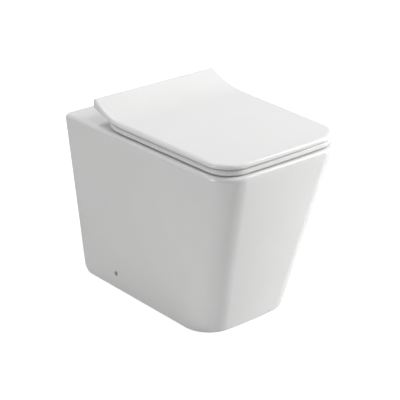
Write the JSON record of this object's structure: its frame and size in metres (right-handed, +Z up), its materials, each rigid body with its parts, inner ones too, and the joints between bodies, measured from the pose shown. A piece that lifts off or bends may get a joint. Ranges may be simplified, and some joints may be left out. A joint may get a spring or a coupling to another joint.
{
  "type": "back-to-wall toilet",
  "caption": "Floor-standing back-to-wall toilet: tapered white china pan with squared front, slim hinged seat and lid that sweeps up at its back.",
  "frame": {"origin": "on the floor, under the middle of the toilet's length and width", "axes": "+X to the right for someone facing the toilet, +Y towards the wall behind it, +Z up"},
  "size_m": [0.3596, 0.5276, 0.4599],
  "materials": {
    "china": "white gloss glaze",
    "seat_plastic": "polished white moulding",
    "chrome": "polished plating",
    "steel": "turned stainless steel",
    "rubber": "matt black",
    "buffer_rubber": "translucent pale rubber",
    "nylon": "natural nylon"
  },
  "bodies": {
    "pan": {"pan": "china", "inlet_seal": "rubber", "hinge_base_left": "chrome", "hinge_base_right": "chrome", "hinge_post_left": "chrome", "hinge_post_right": "chrome", "hinge_pin_left": "steel", "hinge_pin_right": "steel", "deck_bolt_left": "steel", "deck_bolt_right": "steel", "deck_sleeve_left": "rubber", "deck_sleeve_right": "rubber", "deck_nut_left": "steel", "deck_nut_right": "steel", "floor_bracket_left": "nylon", "floor_bracket_right": "nylon", "side_sleeve_left": "nylon", "side_sleeve_right": "nylon", "side_screw_left": "steel", "side_screw_right": "steel"},
    "seat": {"seat": "seat_plastic", "seat_buffers": "buffer_rubber", "seat_damper": "nylon", "seat_bush": "nylon"},
    "lid": {"lid": "seat_plastic", "lid_buffers": "buffer_rubber", "lid_damper": "nylon", "lid_bush": "nylon"}
  },
  "joints": [
    {"name": "seat_hinge", "type": "hinge", "parent": "pan", "child": "seat", "pos_m": [0, 0.15877, 0.43818], "axis": [-1, 0, 0], "range_deg": [0, 95]},
    {"name": "lid_hinge", "type": "hinge", "parent": "seat", "child": "lid", "pos_m": [0, 0.15877, 0.43818], "axis": [-1, 0, 0], "range_deg": [0, 100]}
  ]
}
